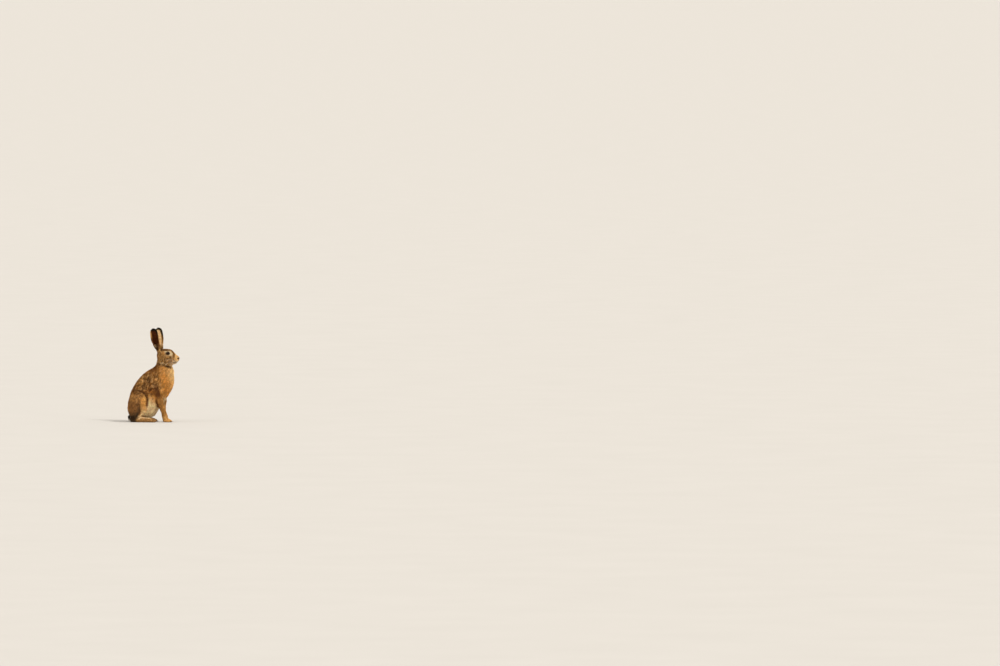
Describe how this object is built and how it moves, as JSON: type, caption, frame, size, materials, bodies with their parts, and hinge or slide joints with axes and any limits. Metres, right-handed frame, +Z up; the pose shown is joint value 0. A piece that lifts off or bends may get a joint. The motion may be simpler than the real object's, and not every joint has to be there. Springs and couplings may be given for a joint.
{
  "type": "brown hare",
  "caption": "Life-size still model of a young brown hare sitting upright on straight forelegs, with tall ears raised and the tail tucked in.",
  "frame": {"origin": "on the ground, under the middle of the hare's bounding box", "axes": "+X towards the nose, +Y towards the hare's left side, +Z up"},
  "size_m": [0.2418, 0.1304, 0.4235],
  "materials": {
    "coat_brown": "short ticked brown fur",
    "coat_ochre": "short warm ochre fur",
    "coat_ear": "very short fur with a black tip",
    "coat_foot": "short close fur",
    "coat_tail": "soft fur, black above and white below",
    "eye": "wet gloss"
  },
  "bodies": {
    "root": {"head": "coat_brown", "neck": "coat_ochre", "torso": "coat_brown", "tail": "coat_tail", "ear_left": "coat_ear", "ear_right": "coat_ear", "eye_left": "eye", "eye_right": "eye", "foreleg_left": "coat_ochre", "foreleg_right": "coat_ochre", "forepaw_left": "coat_foot", "forepaw_right": "coat_foot", "haunch_left": "coat_brown", "haunch_right": "coat_brown", "hind_foot_left": "coat_foot", "hind_foot_right": "coat_foot"}
  },
  "joints": []
}
